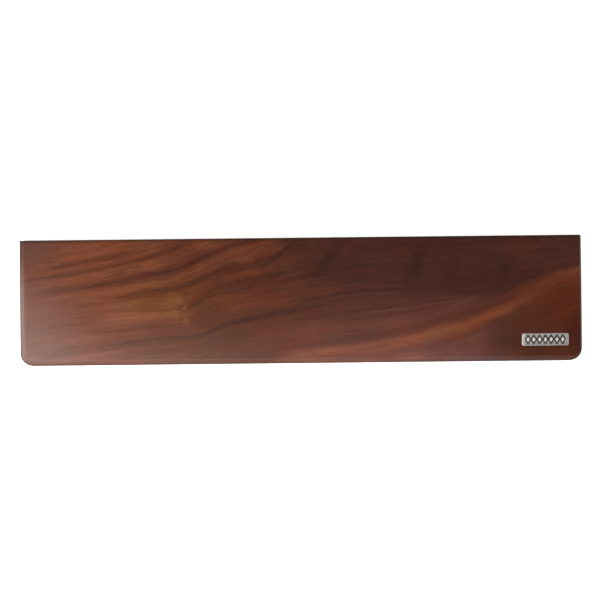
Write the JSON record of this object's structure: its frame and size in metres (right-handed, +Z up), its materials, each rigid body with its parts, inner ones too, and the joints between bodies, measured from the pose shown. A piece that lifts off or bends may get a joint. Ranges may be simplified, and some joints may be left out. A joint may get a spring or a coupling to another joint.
{
  "type": "wrist rest",
  "caption": "Sloped wooden wrist rest for a compact keyboard, with a small metal badge let into its top and non-slip feet set into its underside.",
  "frame": {"origin": "on the desk, under the middle of the board's length and depth", "axes": "+X along the board to the user's right, +Y back to the keyboard, +Z up"},
  "size_m": [0.36, 0.08, 0.018],
  "materials": {
    "walnut": "satin lacquer over dark walnut",
    "badge_metal": "satin nickel, darkened in its sunk field",
    "silicone": "matt black",
    "tape": "matt off-white"
  },
  "bodies": {
    "root": {"walnut_board": "walnut", "badge_plate": "badge_metal", "badge_tape": "tape", "foot_back_left": "silicone", "foot_back_centre": "silicone", "foot_back_right": "silicone", "foot_front_left": "silicone", "foot_front_centre": "silicone", "foot_front_right": "silicone", "foot_tape_back_left": "tape", "foot_tape_back_centre": "tape", "foot_tape_back_right": "tape", "foot_tape_front_left": "tape", "foot_tape_front_centre": "tape", "foot_tape_front_right": "tape"}
  },
  "joints": []
}
